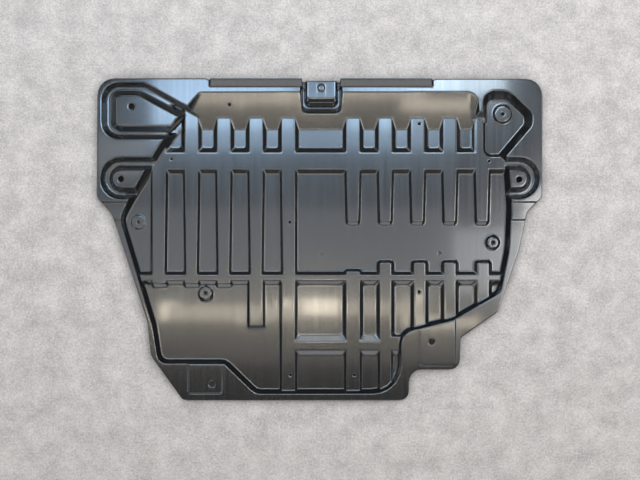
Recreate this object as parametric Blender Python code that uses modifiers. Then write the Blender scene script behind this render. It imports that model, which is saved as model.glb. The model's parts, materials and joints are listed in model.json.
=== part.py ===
"""Engine splash shield: one moulded sheet, pressed into a shallow tray with ribs, pads and channels.

The relief is made as a solid block with the tray cut out of its top. The top skin of that block
is then kept as an open surface and given the wall thickness. X runs to the right, Y towards the
notched front edge, and Z upwards. The origin is under the middle of the whole box, on the face that
the shield rests on. Sizes are laid out from the middle of the photographed outline, 1.3 mm beside it.
"""
import math

import bmesh
import bpy
from mathutils import Matrix, Vector

MM = 0.001

# Sheet and the three levels of the relief, in millimetres
SHEET = 2.5
TRAY_DEPTH = 16.0
RIB_RISE = 5.0
POCKET_FLOOR = SHEET
RIB_TOP = POCKET_FLOOR + RIB_RISE
FLANGE_TOP = POCKET_FLOOR + TRAY_DEPTH
ARC_STEP = math.radians(18)
OVERCUT = 3.0

# Outline of the flange, as corners with their radii
FLANGE = [
    (-390.5, 282.5, 30), (-200, 282.5, 4), (-196.5, 280, 4), (199, 280, 4), (202.5, 281.5, 4),
    (389.5, 281.5, 30), (389, 73.5, 12), (363.5, 48, 14), (349, -20, 52), (312, -127.5, 12),
    (247, -172.5, 9), (245, -229, 19), (156.5, -229, 21), (155.5, -283, 16), (-241, -283, 12),
    (-298, -204, 21), (-304, -144.5, 26), (-366, 44, 10), (-392, 73.5, 14),
]
OUTLINE_REACH_X = max(abs(x) for x, y, radius in FLANGE) + 58.0
OUTLINE_REACH_Y = max(abs(y) for x, y, radius in FLANGE) + 47.0

# Tray outline at flange level, and how far each wall leans in from there to the pocket floors
TRAY = [
    (-211.5, 258.5, 9), (-253.5, 210, 21), (-296.5, 142.5, 35), (-353.5, 37, 33),
    (-296.5, -151, 52), (-285.5, -219, 18), (-169.5, -219, 12), (-114.5, -272, 21),
    (143, -272, 52), (143.5, -165.5, 26), (235.5, -142, 35), (318, -94.5, 18),
    (333.5, -16.5, 105), (336.5, 55, 52), (330, 142, 0), (278.5, 150, 0), (278.5, 258.5, 21),
]
WALL_RUN = 5.6
SIDE_SLOPE_RUN = 8.0
FRONT_SLOPE_RUN = 63.0
TRAY_RUNS = [16.0, 12.0] + [WALL_RUN] * 12 + [3.4, SIDE_SLOPE_RUN, FRONT_SLOPE_RUN]

# Gap between the tray and the right front pocket, which leaves a short spur of flange in front
SPUR_GAP = [
    (272, 225, 0), (300, 225, 0), (312, 158, 0), (330, 142, 0), (322, 120, 0), (272, 120, 0),
]
SPUR_GAP_RUNS = [14.5, 0, 5.6, 4.3, 0, 0]
SPUR_GAP_DEEP = (283, 302, 150, 207)

# Ribs, bands and beams that stand up from the pocket floors
RIB_PITCH = 57.25
RIB_CENTRE = 0.8
RIB_WIDTH = 23.0
RIBS_A_SIDE = 5
BAND_FRONT = 154.0
BAND_BACK = 125.0
BEAM_FRONT = -63.2
BEAM_BACK = -72.5
CROSS_FRONT = -180.5
CROSS_BACK = -196.4
RIGHT_RIB_END = 31.9
RIGHT_RIB_END_RUN = 7.0
STRIP_WIDTH = 19.0
STRIP_CENTRES = (115.7, 176.2, 229.7, 288.7)
STRIP_END = -41.6
STRIP_END_RUN = 5.0
CENTRE_RIB_END = -57.0
STUB_END = -153.0
POKE_END = -77.8
RIB_SIDE_RUN = 4.4
RIB_TAPER = 2.5
FRONT_POCKET_RUN = 7.0
FRONT_POCKET_BACK_RUN = 8.3
MIDDLE_FRONT_RUN = 9.0
MIDDLE_BACK_RUN = 6.5
STRIP_SIDE_RUN = 7.0
REAR_FRONT_RUN = 8.0
CROSS_FRONT_RUN = 10.5
CROSS_BACK_RUN = 9.0
EDGE_POCKET_REACH = ((28.0, BEAM_FRONT), (63.0, 37.0), (33.0, BAND_BACK))
POCKET_RADIUS = 1.5
FLOOR_RADIUS = 6.0
MIDDLE_FLOOR_RADIUS = 3.0
EDGE_FLOOR_RADIUS = 2.0
REAR_FLOOR_RADIUS = 4.0
FIXING_FLOOR_RADIUS = 10.0

# Where the outermost pockets run on past the tray's wall, which cuts them off
PAST_WALL_RUN = 2.0
FRONT_POCKET_REACH = 238.0
WIDE_POCKET_REACH = ((331.0, BAND_BACK), (337.0, 55.0), (334.0, -17.0), (327.0, BEAM_FRONT))
LEFT_REAR_SIDE = -322.0
LEFT_REAR_REACH = ((-116.0, -275.0), (-171.0, -222.0), (-287.0, -222.0), (-298.0, -151.0))
RIGHT_REAR_SIDE = 340.0
RIGHT_REAR_BACK = -172.0
LAST_POCKET_SIDE = 150.0
LAST_POCKET_BACK = -276.0

# How far into a band a rib's end runs on, and how far the web and other blocks reach
RIB_OVERLAP = 3.0
WEB_SHARE = 0.95
LIP_SHARE = 0.97
PAST_BLOCK_SHARE = 1.1

# Bolt pads with a channel round them: outer wall, then the pad's own wall, in the same order
CORNER_CHANNEL = [
    (-383, 275.5, 30), (-309.5, 275.5, 18), (-211.5, 221.3, 0), (-236, 175.5, 0), (-383, 175.5, 30),
]
CORNER_CHANNEL_RUNS = [5.8, 5.8, 0, 9.5, 6.2]
CORNER_PAD = [
    (-358, 252.5, 9), (-320, 252.5, 14), (-245.5, 213, 0), (-259.5, 198.5, 0), (-358, 198.5, 9),
]
CORNER_PAD_RUNS = [10.3, 10.3, 0, 8, 13]
SIDE_CHANNEL = [(-385.5, 144.5, 36.5), (-272, 144.5, 0), (-307, 70.5, 0), (-385.5, 70.5, 36.5)]
SIDE_CHANNEL_RUNS = [7.2, 0, 7.3, 5.6]
SIDE_PAD = [(-363, 121, 14), (-285, 121, 0), (-308, 91.5, 0), (-363, 91.5, 13)]
SIDE_PAD_RUNS = [9.5, 0, 8.4, 9.6]
SIDE_PAD_CENTRE_X = -0.5

# Deep pocket round the right front fixing
FIXING_POCKET = [
    (284.5, 261, 24), (330, 261, 26), (372, 222, 21), (372, 201, 18), (314.5, 133, 0), (289, 150, 0),
]
FIXING_POCKET_RUNS = [13, 8.8, 9.5, 9.5, 6, 9]
FIXING_FLOOR = [(288.5, 300, 0), (420, 300, 0), (420, 146, 0), (288.5, 146, 14)]
FIXING_FLOOR_RUNS = [0, 0, 5, 4.5]

# Raised front lip, which the notch parts in two
LIP_BASE_Y = 267.5
LIP_RISE = 10.0
LIP_RUN = 10.0
LIP_END_RUN = 3.5
LIP_ROOT = 1.0
LIP_LEFT = -194.0
LIP_RIGHT = 197.0

# Notch, with a tongue that stands in it from the front edge and a dark groove round the tongue
NOTCH_LEFT = -35.0
NOTCH_RIGHT = 38.5
NOTCH_BACK = 208.5
NOTCH_RADIUS = 13.0
NOTCH_SIDE_RUN = 4.0
NOTCH_MOUTH_INSET = 4.0
NOTCH_MOUTH_RUN = 1.0
NOTCH_BACK_RUN = 24.0
NOTCH_FLOOR_RADIUS = 8.0
TONGUE_INSET = 11.5
TONGUE_BACK = 249.0
TONGUE_RISE = 9.0
TONGUE_FOLD = 2.5
TONGUE_FOLD_RUN = 7.0
TONGUE_FOLD_SIDE = 2.0
TONGUE_WALL_BACK_RUN = 8.5
TONGUE_WALL_RUN = 2.5
TONGUE_RADIUS = 5.0
SLIT_WIDTH = 1.4
SLIT_FRONT = 276.0
SLIT_OFFSET = 8.9
CLIP_BOSS_Y = 267.0
CLIP_BOSS_RADIUS = 5.5
CLIP_BOSS_RISE = 1.6

# Two steps down to the rear flange, and the two low pads on it
STEP_DROP = 1.5
STEP_LINES = (66.5, 36.0)
STEP_RUN = 2.0
REAR_PAD_RISE = 1.2
REAR_PADS = (
    [(174.5, -221, 6), (236.5, -221, 6), (236.5, -120, 0), (174.5, -120, 0)],
    [(-231, -270, 5), (-173, -270, 5), (-173, -205, 0), (-231, -205, 0)],
)

# Round bosses as x, y, base radius, top radius, rise, how far the top is set forward, hole radius
BOSSES = (
    (306.0, -5.5, 13.5, 9.5, 4.5, 0.0, 3.0),
    (-323.0, 31.0, 13.0, 11.8, 1.6, 0.0, 2.4),
    (-203.5, -98.0, 13.5, 11.0, 4.2, 3.0, 2.8),
    (323.5, 222.5, 17.0, 14.5, 4.5, 0.0, 2.4),
)

# Holes as x, y, radius
BOLT_RADIUS = 4.9
DRAIN_RADIUS = 2.0
BOLT_HOLES = ((-330.5, 233.0), (-349.0, 106.0), (348.5, 105.0), (195.5, -179.5), (-190.0, -253.5))
DRAIN_HOLES = (
    (-160.0, 237.0), (-263.5, 142.5), (299.0, 138.5), (-54.0, 30.5), (175.0, -93.0),
    (-53.0, -240.0), (60.0, -240.0), (175.5, 204.5), (1.5, -26.0), (212.5, -24.5),
)


def clear_scene():
    """Remove whatever the file holds."""
    for item in list(bpy.data.objects):
        bpy.data.objects.remove(item, do_unlink=True)


def collection(name):
    """Make a collection in the scene."""
    made = bpy.data.collections.new(name)
    bpy.context.scene.collection.children.link(made)
    return made


def turn_side(corners):
    """Give 1 where the outline runs anticlockwise, or -1."""
    area = 0.0
    for index, (x, y, radius) in enumerate(corners):
        before = corners[index - 1]
        area += before[0] * y - x * before[1]
    return math.copysign(1.0, area)


def section(corners, runs, share, floor_radius=None):
    """Move each side of the outline inwards by a share of its run, and follow with the radii."""
    side = turn_side(corners)
    count = len(corners)
    lines = []
    for index in range(count):
        start = Vector(corners[index][:2])
        along = (Vector(corners[(index + 1) % count][:2]) - start).normalized()
        inward = Vector((-along.y, along.x)) * side
        lines.append((start + inward * runs[index] * share, along))
    moved = []
    for index in range(count):
        point, along = lines[index - 1]
        other, across = lines[index]
        turn = along.cross(across)
        place = point + along * ((other - point).cross(across) / turn)
        radius = corners[index][2]
        lean = (runs[index - 1] + runs[index]) / 2 * share
        if radius and floor_radius is not None:
            radius += (floor_radius - radius) * share
        elif radius:
            radius -= math.copysign(1.0, turn * side) * lean
        moved.append((place.x, place.y, radius))
    return moved


def rounded(corners, pattern):
    """Turn corners into points, with an arc wherever the pattern outline has a radius."""
    count = len(corners)
    points = []
    for index in range(count):
        here = Vector(corners[index][:2])
        before = Vector(corners[index - 1][:2]) - here
        after = Vector(corners[(index + 1) % count][:2]) - here
        reach = 0.48 * min(before.length, after.length)
        before.normalize()
        after.normalize()
        turn = math.pi - before.angle(after)
        if not pattern[index][2]:
            points.append(here)
            continue
        steps = max(1, round(turn / ARC_STEP))
        tangent = min(max(corners[index][2], 0.4) * math.tan(turn / 2), reach)
        radius = tangent / math.tan(turn / 2)
        centre = here + (before + after).normalized() * math.hypot(radius, tangent)
        start = here + before * tangent - centre
        spin = math.copysign(turn, start.cross(here + after * tangent - centre))
        for step in range(steps + 1):
            points.append(centre + Matrix.Rotation(spin * step / steps, 2) @ start)
    return points


def loft(name, lower, upper, low, high):
    """Make a closed solid between two outlines of as many points."""
    shape = bmesh.new()
    rings = []
    for points, height in ((lower, low), (upper, high)):
        verts = [shape.verts.new((p.x * MM, p.y * MM, height * MM)) for p in points]
        edges = [shape.edges.new((verts[i - 1], verts[i])) for i in range(len(verts))]
        bmesh.ops.contextual_create(shape, geom=verts)
        rings.append(edges)
    bmesh.ops.bridge_loops(shape, edges=rings[0] + rings[1])
    bmesh.ops.recalc_face_normals(shape, faces=shape.faces)
    return as_object(name, shape)


def as_object(name, shape):
    """Put a bmesh in an object among the cutters."""
    mesh = bpy.data.meshes.new(name)
    shape.to_mesh(mesh)
    shape.free()
    made = bpy.data.objects.new(name, mesh)
    made.hide_render = True
    made.display_type = "WIRE"
    cutters.objects.link(made)
    return made


def sunk(name, corners, runs, top, bottom, low, high, floor_radius=None):
    """Make a drafted hollow that narrows from its outline at top to bottom, from low to high."""
    rings = []
    for height in (low, high):
        share = (top - height) / (top - bottom)
        rings.append(rounded(section(corners, runs, share, floor_radius), corners))
    return loft(name, rings[0], rings[1], low, high)


def standing(name, corners, runs, top, bottom, low):
    """Make a drafted block whose outline is given at its top and widens downwards."""
    outward = [-run for run in runs]
    return sunk(name, corners, outward, top, bottom, low, top)


def box_corners(left, right, back, front, radius=0):
    """Give the four corners of a rectangle, whose sides run front, right, back and left."""
    return [(left, front, radius), (right, front, radius), (right, back, radius), (left, back, radius)]


def flared_corners(left, right, back, front, flare, radius):
    """Give the corners of a rectangle whose back is wider by the flare at each end."""
    return [
        (left, front, radius), (right, front, radius),
        (right + flare, back, radius), (left - flare, back, radius),
    ]


def cone(name, x, y, base, top, low, high, shift=0.0):
    """Make a round boss or a hole's cutter."""
    shape = bmesh.new()
    bmesh.ops.create_cone(
        shape, cap_ends=True, segments=20, radius1=base * MM, radius2=top * MM, depth=(high - low) * MM
    )
    for vert in shape.verts:
        if vert.co.z > 0:
            vert.co.y += shift * MM
    bmesh.ops.translate(shape, verts=shape.verts, vec=Vector((x, y, (low + high) / 2)) * MM)
    return as_object(name, shape)


def combine(target, tools, operation):
    """Join or cut the target with each tool in turn, and keep the result as its mesh."""
    for tool in tools:
        step = target.modifiers.new(tool.name, "BOOLEAN")
        step.operation = operation
        step.object = tool
        step.solver = "EXACT"
    view = bpy.context.evaluated_depsgraph_get()
    result = bpy.data.meshes.new_from_object(target.evaluated_get(view))
    target.modifiers.clear()
    target.data = result


def group(name, objects):
    """Put separate solids that don't meet in one object, so that one cut takes them all."""
    shape = bmesh.new()
    for item in objects:
        shape.from_mesh(item.data)
        bpy.data.objects.remove(item)
    return as_object(name, shape)


def rib_x(place):
    """Give the middle of the rib so many pitches from the centre."""
    return RIB_CENTRE + place * RIB_PITCH


def pocket(name, corners, runs, floor_radius=FLOOR_RADIUS):
    """Make one pocket between ribs, deep enough to pass through the web."""
    low = POCKET_FLOOR - 1.0
    high = RIB_TOP + 1.0
    return sunk(name, corners, runs, RIB_TOP, POCKET_FLOOR, low, high, floor_radius)


def front_pockets():
    """Row of pockets between the ribs, in front of the band."""
    runs = [0, FRONT_POCKET_RUN, FRONT_POCKET_BACK_RUN, FRONT_POCKET_RUN]
    made = []
    places = [place for place in range(-RIBS_A_SIDE, RIBS_A_SIDE + 1) if place]
    for left, right in zip(places, places[1:]):
        corners = box_corners(
            rib_x(left) + RIB_WIDTH / 2, rib_x(right) - RIB_WIDTH / 2,
            BAND_FRONT, FRONT_POCKET_REACH, POCKET_RADIUS,
        )
        made.append(pocket("front_pocket", corners, runs))
    return made


def middle_pockets():
    """Long pockets on the left, the open one along the left wall, and the wide one on the right."""
    runs = [MIDDLE_FRONT_RUN, RIB_SIDE_RUN, MIDDLE_BACK_RUN, RIB_SIDE_RUN]
    made = []
    for place in range(-RIBS_A_SIDE, -1):
        corners = flared_corners(
            rib_x(place) + RIB_WIDTH / 2, rib_x(place + 1) - RIB_WIDTH / 2,
            BEAM_FRONT, BAND_BACK, RIB_TAPER, POCKET_RADIUS,
        )
        made.append(pocket("middle_pocket", corners, runs, MIDDLE_FLOOR_RADIUS))
    first = rib_x(-RIBS_A_SIDE) - RIB_WIDTH / 2
    edge = [(first, BAND_BACK, 0), (first, BEAM_FRONT, 1)]
    edge += [(first - reach, y, 0) for reach, y in EDGE_POCKET_REACH]
    runs = [RIB_SIDE_RUN, MIDDLE_BACK_RUN, 0, 0, PAST_WALL_RUN]
    made.append(pocket("left_edge_pocket", edge, runs, EDGE_FLOOR_RADIUS))
    last = rib_x(-1) + RIB_WIDTH / 2
    wide = [(last, BAND_BACK, POCKET_RADIUS)]
    wide += [(x, y, 0) for x, y in WIDE_POCKET_REACH]
    wide.append((last, BEAM_FRONT, POCKET_RADIUS))
    runs = [MIDDLE_FRONT_RUN] + [PAST_WALL_RUN] * 3 + [MIDDLE_BACK_RUN, RIB_SIDE_RUN]
    made.append(pocket("wide_pocket", wide, runs, MIDDLE_FLOOR_RADIUS))
    return made


def rear_pockets():
    """Pockets behind the beam, and those behind the cross beam."""
    made = []
    fifth = rib_x(-1)
    end = fifth - RIB_WIDTH / 2
    low_left = [(LEFT_REAR_SIDE, BEAM_BACK, 0), (end, BEAM_BACK, 3), (end, LEFT_REAR_REACH[0][1], 0)]
    low_left += [(x, y, 0) for x, y in LEFT_REAR_REACH]
    runs = [REAR_FRONT_RUN, RIB_SIDE_RUN] + [PAST_WALL_RUN] * 5
    made.append(pocket("left_rear_pocket", low_left, runs, REAR_FLOOR_RADIUS))
    columns = [(fifth + RIB_WIDTH / 2, rib_x(1) - RIB_WIDTH / 2)]
    left = rib_x(1) + RIB_WIDTH / 2
    for centre in STRIP_CENTRES:
        columns.append((left, centre - STRIP_WIDTH / 2))
        left = centre + STRIP_WIDTH / 2
    columns.append((left, RIGHT_REAR_SIDE))
    side = STRIP_SIDE_RUN
    for number, (start, end) in enumerate(columns):
        back = CROSS_FRONT if number < 2 else RIGHT_REAR_BACK
        corners = box_corners(start, end, back, BEAM_BACK, POCKET_RADIUS)
        back_run = CROSS_FRONT_RUN if number < 2 else PAST_WALL_RUN
        near = RIB_SIDE_RUN if number == 0 else side
        made.append(pocket("rear_pocket", corners, [REAR_FRONT_RUN, side, back_run, near]))
    columns[2] = (columns[2][0], LAST_POCKET_SIDE)
    runs = [CROSS_BACK_RUN, RIB_SIDE_RUN, PAST_WALL_RUN, RIB_SIDE_RUN]
    for start, end in columns[:3]:
        corners = box_corners(start, end, LAST_POCKET_BACK, CROSS_BACK, POCKET_RADIUS)
        made.append(pocket("last_pocket", corners, runs, REAR_FLOOR_RADIUS))
    return made


def rib_ends():
    """Ribs and strips that stop short inside a pocket, and the round bosses."""
    made = []
    low = POCKET_FLOOR - 0.7
    side = RIB_SIDE_RUN

    def ridge(centre, width, back, front, runs, taper=0.0):
        left = centre - width / 2
        corners = flared_corners(left, left + width, back, front, -taper, POCKET_RADIUS)
        made.append(standing("rib_end", corners, runs, RIB_TOP, POCKET_FLOOR, low))

    for place in range(1, RIBS_A_SIDE + 1):
        runs = [0, side, RIGHT_RIB_END_RUN, side]
        ridge(rib_x(place), RIB_WIDTH, RIGHT_RIB_END, BAND_BACK + RIB_OVERLAP, runs, RIB_TAPER)
    back = BEAM_FRONT - RIB_OVERLAP
    front = BEAM_BACK + RIB_OVERLAP
    for centre in STRIP_CENTRES:
        ridge(centre, STRIP_WIDTH, back, STRIP_END, [STRIP_END_RUN, STRIP_SIDE_RUN, 0, STRIP_SIDE_RUN])
    ridge(rib_x(1), RIB_WIDTH, back, CENTRE_RIB_END, [STRIP_END_RUN, side, 0, side])
    ridge(rib_x(-2), RIB_WIDTH, STUB_END, front, [0, side, RIB_RISE, side])
    for place in (-5, -4, -3):
        ridge(rib_x(place), RIB_WIDTH, POKE_END, front, [0, side, REAR_FRONT_RUN, side])
    for x, y, base, top, rise, shift, hole in BOSSES:
        slant = (base - top) / rise
        spread = base + slant
        made.append(cone("boss", x, y, spread, top, POCKET_FLOOR - 1, POCKET_FLOOR + rise, shift))
    return made


def make_web():
    """The grid of ribs: a slab as high as the ribs, with every pocket cut through it."""
    low = POCKET_FLOOR - 0.5
    across = OUTLINE_REACH_X * WEB_SHARE
    along = OUTLINE_REACH_Y * WEB_SHARE
    corners = box_corners(-across, across, -along, along)
    flat = [0, 0, 0, 0]
    web = sunk("rib_web", corners, flat, RIB_TOP, low, low, RIB_TOP)
    fixing = pocket("fixing_floor", FIXING_FLOOR, FIXING_FLOOR_RUNS, FIXING_FLOOR_RADIUS)
    holes = front_pockets() + middle_pockets() + rear_pockets() + [fixing]
    combine(web, [group("pockets", holes)], "DIFFERENCE")
    combine(web, rib_ends(), "UNION")
    return web


def channel(name, outer, outer_runs, pad, pad_runs, mirror=None):
    """Make the cutter of a channel: its outer wall less the pad that it runs round."""
    low = POCKET_FLOOR + 1.0
    high = FLANGE_TOP + 1.0
    groove = sunk(name, outer, outer_runs, FLANGE_TOP, RIB_TOP, low, high)
    outward = [-run for run in pad_runs]
    block = sunk(name + "_pad", pad, outward, FLANGE_TOP, RIB_TOP, low - 1.0, high + 1.0)
    combine(groove, [block], "DIFFERENCE")
    if mirror is not None:
        shape = bmesh.new()
        shape.from_mesh(groove.data)
        for vert in shape.verts:
            vert.co.x = 2 * mirror * MM - vert.co.x
        bmesh.ops.reverse_faces(shape, faces=shape.faces)
        shape.to_mesh(groove.data)
        shape.free()
    return groove


def make_cavity():
    """All that is hollow above the sheet: tray, channels and fixing pocket, less the rib web."""
    low = POCKET_FLOOR
    high = FLANGE_TOP + 1.5
    cavity = sunk("tray", TRAY, TRAY_RUNS, FLANGE_TOP, POCKET_FLOOR, low, high)
    fixing = sunk("fixing", FIXING_POCKET, FIXING_POCKET_RUNS, FLANGE_TOP, POCKET_FLOOR, low, high)
    corner = channel("corner_channel", CORNER_CHANNEL, CORNER_CHANNEL_RUNS, CORNER_PAD, CORNER_PAD_RUNS)
    left = channel("left_channel", SIDE_CHANNEL, SIDE_CHANNEL_RUNS, SIDE_PAD, SIDE_PAD_RUNS)
    right = channel(
        "right_channel", SIDE_CHANNEL, SIDE_CHANNEL_RUNS, SIDE_PAD, SIDE_PAD_RUNS, SIDE_PAD_CENTRE_X
    )
    gap = sunk("spur_gap", SPUR_GAP, SPUR_GAP_RUNS, FLANGE_TOP, POCKET_FLOOR, RIB_TOP - 0.5, high)
    deep = sunk("spur_deep", box_corners(*SPUR_GAP_DEEP), [0] * 4, FLANGE_TOP, low, low, RIB_TOP + 1.0)
    combine(cavity, [gap, deep, fixing, corner, left, right], "UNION")
    combine(cavity, [make_web()], "DIFFERENCE")
    return cavity


def make_block():
    """The block that the tray is cut from, with the front lip, the steps and the low pads on top."""
    base = -10.0
    sheet_box = box_corners(-OUTLINE_REACH_X, OUTLINE_REACH_X, -OUTLINE_REACH_Y, OUTLINE_REACH_Y)
    block = sunk("shield_block", sheet_box, [0] * 4, FLANGE_TOP, base, base, FLANGE_TOP)
    steps = []
    across = OUTLINE_REACH_X * PAST_BLOCK_SHARE
    for number, line in enumerate(STEP_LINES):
        level = FLANGE_TOP - STEP_DROP * (number + 1)
        corners = box_corners(-across, across, -OUTLINE_REACH_Y * PAST_BLOCK_SHARE, line)
        steps.append(
            sunk("step", corners, [STEP_RUN, 0, 0, 0], FLANGE_TOP, level, level, FLANGE_TOP + OVERCUT)
        )
    combine(block, steps, "DIFFERENCE")
    raised = []
    rear_level = FLANGE_TOP - STEP_DROP * len(STEP_LINES)
    for corners in REAR_PADS:
        top = rear_level + REAR_PAD_RISE
        raised.append(standing("rear_pad", corners, [REAR_PAD_RISE] * 4, top, rear_level, base + 2))
    corners = box_corners(
        LIP_LEFT + LIP_END_RUN, LIP_RIGHT - LIP_END_RUN,
        LIP_BASE_Y + LIP_RUN, OUTLINE_REACH_Y * LIP_SHARE,
    )
    runs = [0, LIP_END_RUN, LIP_RUN, LIP_END_RUN]
    raised.append(
        standing("front_lip", corners, runs, FLANGE_TOP + LIP_RISE, FLANGE_TOP, FLANGE_TOP - LIP_ROOT)
    )
    combine(block, raised, "UNION")
    combine(block, [make_notch()], "DIFFERENCE")
    combine(block, make_tongue(), "UNION")
    outline = sunk("outline", FLANGE, [0] * len(FLANGE), 40, -20, -20, 40)
    combine(block, [outline], "INTERSECT")
    return block


def make_notch():
    """Cutter of the notch in the front edge, down to the floor of the groove round its tongue."""
    mouth_left = NOTCH_LEFT + NOTCH_MOUTH_INSET
    mouth_right = NOTCH_RIGHT - NOTCH_MOUTH_INSET
    corners = [
        (mouth_left, OUTLINE_REACH_Y, 0), (mouth_right, OUTLINE_REACH_Y, 0), (mouth_right, LIP_BASE_Y, 0),
        (NOTCH_RIGHT, LIP_BASE_Y, 0), (NOTCH_RIGHT, NOTCH_BACK, NOTCH_RADIUS),
        (NOTCH_LEFT, NOTCH_BACK, NOTCH_RADIUS), (NOTCH_LEFT, LIP_BASE_Y, 0), (mouth_left, LIP_BASE_Y, 0),
    ]
    mouth = [NOTCH_MOUTH_RUN, NOTCH_MOUTH_RUN]
    runs = [0] + mouth + [NOTCH_SIDE_RUN, NOTCH_BACK_RUN, NOTCH_SIDE_RUN] + mouth
    top = FLANGE_TOP + LIP_RISE + OVERCUT
    return sunk("notch", corners, runs, FLANGE_TOP, POCKET_FLOOR, POCKET_FLOOR, top, NOTCH_FLOOR_RADIUS)


def make_tongue():
    """Blocks of the tongue: its wall, the soft fold above it, and the round clip boss on top."""
    left = NOTCH_LEFT + TONGUE_INSET
    right = NOTCH_RIGHT - TONGUE_INSET
    high = POCKET_FLOOR + TONGUE_RISE
    low = high - TONGUE_FOLD
    top = box_corners(left, right, TONGUE_BACK, OUTLINE_REACH_Y, TONGUE_RADIUS)
    runs = [0, TONGUE_FOLD_SIDE, TONGUE_FOLD_RUN, TONGUE_FOLD_SIDE]
    fold = standing("tongue_top", top, runs, high, low, low)
    under = box_corners(
        left - TONGUE_FOLD_SIDE, right + TONGUE_FOLD_SIDE, TONGUE_BACK - TONGUE_FOLD_RUN,
        OUTLINE_REACH_Y, TONGUE_RADIUS + 2,
    )
    runs = [0, TONGUE_WALL_RUN, TONGUE_WALL_BACK_RUN, TONGUE_WALL_RUN]
    wall = standing("tongue_wall", under, runs, low, POCKET_FLOOR, POCKET_FLOOR - 1)
    middle = (NOTCH_LEFT + NOTCH_RIGHT) / 2
    boss = cone(
        "clip_boss", middle, CLIP_BOSS_Y, CLIP_BOSS_RADIUS + CLIP_BOSS_RISE, CLIP_BOSS_RADIUS,
        high - CLIP_BOSS_RISE, high + CLIP_BOSS_RISE,
    )
    return [wall, fold, boss]


def keep_top_skin(block):
    """Delete the block's underside and its upright outer sides."""
    shape = bmesh.new()
    shape.from_mesh(block.data)
    bmesh.ops.remove_doubles(shape, verts=shape.verts, dist=0.00002)
    bmesh.ops.dissolve_limit(
        shape, angle_limit=math.radians(0.3), verts=shape.verts, edges=shape.edges, delimit=set()
    )
    shape.normal_update()
    spare = [face for face in shape.faces if face.normal.z < 0.02]
    bmesh.ops.delete(shape, geom=spare, context="FACES")
    shape.to_mesh(block.data)
    shape.free()


def hole_cutters():
    """Cutters of every hole through the sheet, and of the tongue's two slits."""
    high = FLANGE_TOP + LIP_RISE
    made = [cone("bolt_hole", x, y, BOLT_RADIUS, BOLT_RADIUS, -5, high) for x, y in BOLT_HOLES]
    made += [cone("drain_hole", x, y, DRAIN_RADIUS, DRAIN_RADIUS, -5, high) for x, y in DRAIN_HOLES]
    made += [cone("boss_hole", boss[0], boss[1] + boss[5], boss[6], boss[6], -5, high) for boss in BOSSES]
    middle = (NOTCH_LEFT + NOTCH_RIGHT) / 2
    for side in (-1, 1):
        centre = middle + side * SLIT_OFFSET
        slit = box_corners(centre - SLIT_WIDTH / 2, centre + SLIT_WIDTH / 2, TONGUE_BACK + 1, SLIT_FRONT)
        made.append(sunk("slit", slit, [0] * 4, high, -5, -5, high))
    return made


def plastic():
    """Glossy black polypropylene."""
    made = bpy.data.materials.new("black_plastic")
    made.use_nodes = True
    shader = made.node_tree.nodes["Principled BSDF"]
    shader.inputs["Base Color"].default_value = (0.02, 0.021, 0.023, 1)
    shader.inputs["Roughness"].default_value = 0.3
    shader.inputs["Metallic"].default_value = 0.0
    return made


def make_shield():
    """Cut the tray, keep the top skin, and give it the wall thickness and its holes."""
    block = make_block()
    combine(block, [make_cavity()], "DIFFERENCE")
    keep_top_skin(block)
    shield = bpy.data.objects.new("splash_shield", block.data.copy())
    parts.objects.link(shield)
    wall = shield.modifiers.new("wall", "SOLIDIFY")
    wall.thickness = SHEET * MM
    wall.offset = -1
    wall.use_even_offset = True
    wall.use_quality_normals = True
    view = bpy.context.evaluated_depsgraph_get()
    shield.data = bpy.data.meshes.new_from_object(shield.evaluated_get(view))
    shield.modifiers.clear()
    for vert in shield.data.vertices:
        vert.co.z = max(vert.co.z, 0)
    combine(shield, hole_cutters(), "DIFFERENCE")
    places = [vert.co.xy.copy() for vert in shield.data.vertices]
    for axis in (0, 1):
        middle = (min(place[axis] for place in places) + max(place[axis] for place in places)) / 2
        for vert in shield.data.vertices:
            vert.co[axis] -= middle
    shield.data.materials.clear()
    shield.data.materials.append(plastic())


clear_scene()
parts = collection("engine_splash_shield")
cutters = collection("cutters")
make_shield()
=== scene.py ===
import json
import math

import bmesh
import bpy
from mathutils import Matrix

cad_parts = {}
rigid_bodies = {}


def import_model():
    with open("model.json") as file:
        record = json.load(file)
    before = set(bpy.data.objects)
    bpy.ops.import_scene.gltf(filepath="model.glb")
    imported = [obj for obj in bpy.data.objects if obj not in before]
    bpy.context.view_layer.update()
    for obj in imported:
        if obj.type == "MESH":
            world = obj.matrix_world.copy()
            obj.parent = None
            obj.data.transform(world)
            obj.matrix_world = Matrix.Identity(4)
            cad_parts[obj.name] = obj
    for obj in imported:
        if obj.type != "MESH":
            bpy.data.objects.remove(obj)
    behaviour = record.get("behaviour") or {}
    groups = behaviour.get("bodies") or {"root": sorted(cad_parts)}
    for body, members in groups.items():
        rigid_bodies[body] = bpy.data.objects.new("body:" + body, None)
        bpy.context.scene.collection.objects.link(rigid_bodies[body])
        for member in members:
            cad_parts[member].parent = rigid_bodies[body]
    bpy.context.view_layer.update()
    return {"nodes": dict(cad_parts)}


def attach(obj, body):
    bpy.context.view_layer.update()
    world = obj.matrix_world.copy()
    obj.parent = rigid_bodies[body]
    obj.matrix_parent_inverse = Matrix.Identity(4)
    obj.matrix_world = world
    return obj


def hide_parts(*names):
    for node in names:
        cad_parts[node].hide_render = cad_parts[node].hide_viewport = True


for item in list(bpy.data.objects):
    bpy.data.objects.remove(item, do_unlink=True)

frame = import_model()

# The shield is one thin sheet of black polypropylene, pressed in a single mould.
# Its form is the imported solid's, with every fold and rim given the small radius that the mould
# leaves, which is what catches the light as a bright line.
WELD_REACH = 0.00005
VOXEL = 0.0009
SMOOTH_SHARE = 0.5
SMOOTH_ROUNDS = 8
MOST_TRIANGLES = 195000
FACE_WEIGHT = 50

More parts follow.
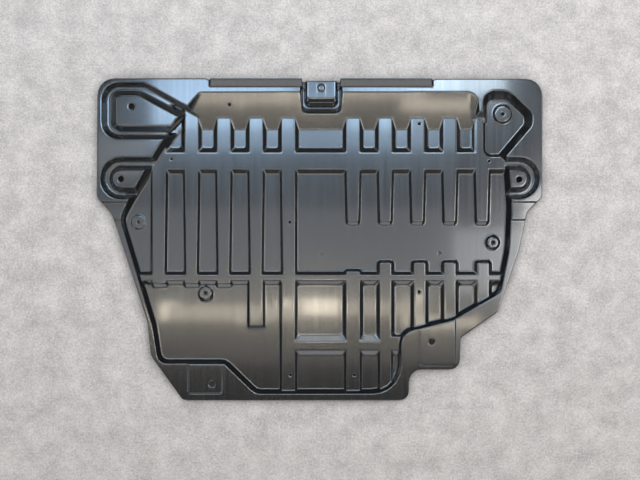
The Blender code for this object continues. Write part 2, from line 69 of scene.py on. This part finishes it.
shield_form = bmesh.new()
shield_form.from_mesh(frame["nodes"]["splash_shield"].data)
bmesh.ops.remove_doubles(shield_form, verts=shield_form.verts, dist=WELD_REACH)
shield_mesh = bpy.data.meshes.new("shield")
shield_form.to_mesh(shield_mesh)
shield_form.free()
shield = bpy.data.objects.new("shield", shield_mesh)
bpy.context.scene.collection.objects.link(shield)
skin = shield.modifiers.new("skin", "REMESH")
skin.mode = "VOXEL"
skin.voxel_size = VOXEL
skin.adaptivity = 0.0
soften = shield.modifiers.new("soften", "SMOOTH")
soften.factor = SMOOTH_SHARE
soften.iterations = SMOOTH_ROUNDS
shield.data = bpy.data.meshes.new_from_object(shield.evaluated_get(bpy.context.evaluated_depsgraph_get()))
shield.modifiers.clear()

# The skin is all four-sided faces, and each of them counts as two triangles
thin = shield.modifiers.new("thin", "DECIMATE")
thin.ratio = MOST_TRIANGLES / (2 * len(shield.data.polygons))
shield.data = bpy.data.meshes.new_from_object(shield.evaluated_get(bpy.context.evaluated_depsgraph_get()))
shield.modifiers.clear()
for face in shield.data.polygons:
    face.use_smooth = True

# The large faces set the shading at their edges, so that the flat parts mirror the ceiling evenly
level = shield.modifiers.new("level", "WEIGHTED_NORMAL")
level.weight = FACE_WEIGHT
shield.data = bpy.data.meshes.new_from_object(shield.evaluated_get(bpy.context.evaluated_depsgraph_get()))
shield.modifiers.clear()

# Black plastic, with the smooth skin of the moulding as a thin gloss over a duller body
PLASTIC_BLACK = (0.008, 0.0085, 0.0095, 1)
PLASTIC_IOR = 1.6
GLOSS_WEIGHT = 1.0
GLOSS_ROUGHNESS = 0.08
black_plastic = bpy.data.materials.new("black_plastic")
black_plastic.use_nodes = True
nodes = black_plastic.node_tree.nodes
links = black_plastic.node_tree.links
gloss = nodes["Principled BSDF"]
gloss.inputs["Base Color"].default_value = PLASTIC_BLACK
gloss.inputs["IOR"].default_value = PLASTIC_IOR
gloss.inputs["Coat Weight"].default_value = GLOSS_WEIGHT
gloss.inputs["Coat Roughness"].default_value = GLOSS_ROUGHNESS
place = nodes.new("ShaderNodeTexCoord")

# Fine flow streaks of the moulding, which run from front to back and change the sheen
STREAK_STRETCH = (170, 4, 60)
STREAK_DETAIL = 3.0
STREAK_LOW, STREAK_HIGH = 0.3, 0.7
SHEEN_BRIGHT, SHEEN_DULL = 0.16, 0.245
streak_map = nodes.new("ShaderNodeMapping")
streak_map.inputs["Scale"].default_value = STREAK_STRETCH
links.new(place.outputs["Object"], streak_map.inputs["Vector"])
streaks = nodes.new("ShaderNodeTexNoise")
streaks.inputs["Scale"].default_value = 1.0
streaks.inputs["Detail"].default_value = STREAK_DETAIL
links.new(streak_map.outputs["Vector"], streaks.inputs["Vector"])
sheen_range = nodes.new("ShaderNodeMapRange")
sheen_range.inputs["From Min"].default_value = STREAK_LOW
sheen_range.inputs["From Max"].default_value = STREAK_HIGH
sheen_range.inputs["To Min"].default_value = SHEEN_BRIGHT
sheen_range.inputs["To Max"].default_value = SHEEN_DULL
links.new(streaks.outputs["Fac"], sheen_range.inputs["Value"])
links.new(sheen_range.outputs["Result"], gloss.inputs["Roughness"])

# Slight, wide waves, as in a thin moulded sheet
WAVE_SCALE = 18.0
RIPPLE_STRENGTH = 0.1
RIPPLE_HEIGHT = 0.0015
waves = nodes.new("ShaderNodeTexNoise")
waves.inputs["Scale"].default_value = WAVE_SCALE
waves.inputs["Detail"].default_value = 0.0
links.new(place.outputs["Object"], waves.inputs["Vector"])
ripple = nodes.new("ShaderNodeBump")
ripple.inputs["Strength"].default_value = RIPPLE_STRENGTH
ripple.inputs["Distance"].default_value = RIPPLE_HEIGHT
links.new(waves.outputs["Fac"], ripple.inputs["Height"])
links.new(ripple.outputs["Normal"], gloss.inputs["Normal"])
shield.data.materials.append(black_plastic)
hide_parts("splash_shield")
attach(shield, "root")

# Pale sheet of card that the shield lies on for its photograph.
# It is matt, a warm light grey, and mottled all over.
CARD_REACH = 3.0
CARD_DROP = 0.0005
CARD_ROUGHNESS = 0.9
CARD_SHINE = 0.2
card_form = bmesh.new()
bmesh.ops.create_grid(card_form, x_segments=1, y_segments=1, size=CARD_REACH)
bmesh.ops.translate(card_form, verts=card_form.verts, vec=(0, 0, -CARD_DROP))
card_mesh = bpy.data.meshes.new("card")
card_form.to_mesh(card_mesh)
card_form.free()
card = bpy.data.objects.new("card", card_mesh)
bpy.context.scene.collection.objects.link(card)
pale_card = bpy.data.materials.new("pale_card")
pale_card.use_nodes = True
nodes = pale_card.node_tree.nodes
links = pale_card.node_tree.links
matt = nodes["Principled BSDF"]
matt.inputs["Roughness"].default_value = CARD_ROUGHNESS
matt.inputs["Specular IOR Level"].default_value = CARD_SHINE
place = nodes.new("ShaderNodeTexCoord")

# Mottling: soft clouds of a few centimetres with a fine grain over them
CLOUD_SCALE, CLOUD_DETAIL, CLOUD_ROUGHNESS = 24.0, 8.0, 0.7
GRAIN_SCALE, GRAIN_DETAIL, GRAIN_ROUGHNESS = 300.0, 5.0, 0.8
GRAIN_SHARE = 0.6
FLECK_LOW, FLECK_HIGH = 0.4, 0.6
DARK_FLECK = (0.425, 0.378, 0.348, 1)
PALE_FLECK = (0.75, 0.668, 0.614, 1)
clouds = nodes.new("ShaderNodeTexNoise")
clouds.inputs["Scale"].default_value = CLOUD_SCALE
clouds.inputs["Detail"].default_value = CLOUD_DETAIL
clouds.inputs["Roughness"].default_value = CLOUD_ROUGHNESS
links.new(place.outputs["Object"], clouds.inputs["Vector"])
grain = nodes.new("ShaderNodeTexNoise")
grain.inputs["Scale"].default_value = GRAIN_SCALE
grain.inputs["Detail"].default_value = GRAIN_DETAIL
grain.inputs["Roughness"].default_value = GRAIN_ROUGHNESS
links.new(place.outputs["Object"], grain.inputs["Vector"])
blend = nodes.new("ShaderNodeMix")
blend.inputs["Factor"].default_value = GRAIN_SHARE
links.new(clouds.outputs["Fac"], blend.inputs["A"])
links.new(grain.outputs["Fac"], blend.inputs["B"])
tint = nodes.new("ShaderNodeValToRGB")
tint.color_ramp.elements[0].position = FLECK_LOW
tint.color_ramp.elements[0].color = DARK_FLECK
tint.color_ramp.elements[1].position = FLECK_HIGH
tint.color_ramp.elements[1].color = PALE_FLECK
links.new(blend.outputs["Result"], tint.inputs["Fac"])

# Painted shade in the card's colour: a little darker towards the back and brighter towards the front,
# standing in for the light falling off, and dark where the shield hides the room from it
FALLOFF_REACH = 0.42
BACK_SHADE, FRONT_SHADE = 0.88, 1.08
PAINTED_SHADE_REACH = 0.03
shares = nodes.new("ShaderNodeSeparateXYZ")
links.new(place.outputs["Object"], shares.inputs["Vector"])
# Painted light falloff: the card's colour is scaled from BACK_SHADE at the back to FRONT_SHADE at the
# front
painted_falloff = nodes.new("ShaderNodeMapRange")
painted_falloff.inputs["From Min"].default_value = -FALLOFF_REACH
painted_falloff.inputs["From Max"].default_value = FALLOFF_REACH
painted_falloff.inputs["To Min"].default_value = BACK_SHADE
painted_falloff.inputs["To Max"].default_value = FRONT_SHADE
links.new(shares.outputs["Y"], painted_falloff.inputs["Value"])
falloff_painted_colour = nodes.new("ShaderNodeHueSaturation")
links.new(tint.outputs["Color"], falloff_painted_colour.inputs["Color"])
links.new(painted_falloff.outputs["Result"], falloff_painted_colour.inputs["Value"])
# Painted shade: ambient occlusion darkens the card's colour under and beside the shield
painted_contact_shade = nodes.new("ShaderNodeAmbientOcclusion")
painted_contact_shade.inputs["Distance"].default_value = PAINTED_SHADE_REACH
links.new(falloff_painted_colour.outputs["Color"], painted_contact_shade.inputs["Color"])
links.new(painted_contact_shade.outputs["Color"], matt.inputs["Base Color"])
card.data.materials.append(pale_card)

# The photograph was taken from straight above, about a metre over the flange.
EYE_PLACE = (0.0008, -0.0007, 1.0185)
CAMERA_LENS = 32.14
SENSOR_WIDTH = 36
eye = bpy.data.objects.new("eye", bpy.data.cameras.new("eye"))
bpy.context.scene.collection.objects.link(eye)
eye.location = EYE_PLACE
eye.data.lens = CAMERA_LENS
eye.data.sensor_width = SENSOR_WIDTH
bpy.context.scene.camera = eye


def soft_lamp(name, place, width, depth, radiance, colour):
    """Hang a rectangular lamp that faces straight down."""
    lamp = bpy.data.lights.new(name, "AREA")
    lamp.shape = "RECTANGLE"
    lamp.size = width
    lamp.size_y = depth
    lamp.energy = radiance * math.pi * width * depth
    lamp.color = colour
    hung = bpy.data.objects.new(name, lamp)
    hung.location = place
    bpy.context.scene.collection.objects.link(hung)
    return hung


# The ceiling, about 3 m up, that the flat faces mirror. Each lamp is a soft panel, given by its place,
# width, depth, radiance and colour.
DAYLIGHT = (0.5, 0.73, 1.0)
WARM = (1.0, 0.89, 0.7)

# Dim over the middle, so that the black stays black
soft_lamp("ceiling_front", (0, 0.4, 3.1), 3.6, 1.3, 0.55, (0.78, 0.89, 1.0))
soft_lamp("ceiling_back", (0, -0.57, 3.1), 3.6, 0.64, 0.65, (1.0, 0.93, 0.84))
soft_lamp("middle_glow", (-0.3, -0.1, 3.08), 2.6, 0.66, 0.7, (0.97, 0.98, 1.0))

# Blue windows past the front edge with a dark bar between them, their glow, and a paler one at the right
soft_lamp("front_glow", (-0.1, 0.98, 3.05), 2.2, 0.68, 3.1, DAYLIGHT)
soft_lamp("left_glow", (-1.4, 0.6, 3.05), 0.4, 0.3, 1.6, (0.86, 0.93, 1.0))
soft_lamp("front_window_left", (-0.67, 1.06, 3.0), 0.98, 0.56, 7.2, DAYLIGHT)
soft_lamp("front_window_right", (0.4, 1.06, 3.0), 0.44, 0.56, 7.2, DAYLIGHT)
soft_lamp("right_front_window", (0.95, 1.25, 3.0), 0.7, 0.5, 13.0, (0.7, 0.86, 1.0))

# A warm row behind the middle, with small bright bulbs among longer and softer lamps
soft_lamp("warm_left", (-0.62, -0.51, 3.0), 0.9, 0.11, 6.0, WARM)
soft_lamp("warm_left_end", (-1.06, -0.5, 3.0), 0.12, 0.12, 20.0, WARM)
soft_lamp("warm_left_bulb", (-0.55, -0.53, 3.0), 0.08, 0.1, 11.0, WARM)
soft_lamp("warm_heart", (0.0, -0.47, 3.0), 0.26, 0.11, 18.0, WARM)
soft_lamp("warm_bulb", (-0.25, -0.48, 3.0), 0.1, 0.11, 25.0, WARM)
soft_lamp("warm_right", (0.45, -0.48, 3.0), 0.58, 0.1, 5.0, WARM)
soft_lamp("warm_right_bulb", (0.38, -0.48, 3.0), 0.1, 0.11, 12.0, WARM)
soft_lamp("warm_right_end", (0.68, -0.42, 3.0), 0.1, 0.1, 12.0, WARM)
soft_lamp("warm_slope", (0.85, -0.575, 3.0), 0.55, 0.08, 8.0, WARM)

# A pale window on the right, and its glow
soft_lamp("right_window", (1.7, -0.15, 3.0), 0.55, 1.05, 8.5, (1.0, 0.98, 0.96))
soft_lamp("right_glow", (1.18, -0.15, 3.03), 0.46, 0.46, 3.0, (0.95, 0.97, 1.0))

# A ring of four lamps outside the part of the ceiling that the flat faces mirror, so that it shows
# only as a bright line along each fold
RING_LAMPS = 4
RING_REACH = 2.45
RING_HEIGHT = 3.0
for number in range(RING_LAMPS):
    turn = number * 2 * math.pi / RING_LAMPS
    side = (RING_REACH * math.sin(turn), RING_REACH * math.cos(turn), RING_HEIGHT)
    ring = soft_lamp("ring", side, 3.6, 0.8, 3.2, (0.95, 0.98, 1.0))
    ring.rotation_euler = (0, 0, -turn)

# A low lamp past the back edge, for the leaning face of the front lip
LOW_GLOW_TURN = math.radians(75)
low_glow = soft_lamp("low_glow", (0, -3.2, 1.0), 3.6, 0.9, 1.6, (0.97, 0.98, 1.0))
low_glow.rotation_euler = (LOW_GLOW_TURN, 0, 0)

# The room is dim where it lights the shield, and pale where the camera sees past the card
DIM_ROOM_COLOUR = (0.85, 0.87, 0.9, 1)
DIM_ROOM_STRENGTH = 0.1
PALE_ROOM_COLOUR = (0.64, 0.62, 0.6, 1)
sky = bpy.data.worlds.new("room")
bpy.context.scene.world = sky
sky.use_nodes = True
nodes = sky.node_tree.nodes
links = sky.node_tree.links
dim_room = nodes["Background"]
dim_room.inputs["Color"].default_value = DIM_ROOM_COLOUR
dim_room.inputs["Strength"].default_value = DIM_ROOM_STRENGTH
pale_room = nodes.new("ShaderNodeBackground")
pale_room.inputs["Color"].default_value = PALE_ROOM_COLOUR
ray = nodes.new("ShaderNodeLightPath")
either = nodes.new("ShaderNodeMixShader")
links.new(ray.outputs["Is Camera Ray"], either.inputs["Fac"])
links.new(dim_room.outputs["Background"], either.inputs[1])
links.new(pale_room.outputs["Background"], either.inputs[2])
links.new(either.outputs["Shader"], nodes["World Output"].inputs["Surface"])

bpy.context.scene.view_settings.view_transform = "Standard"
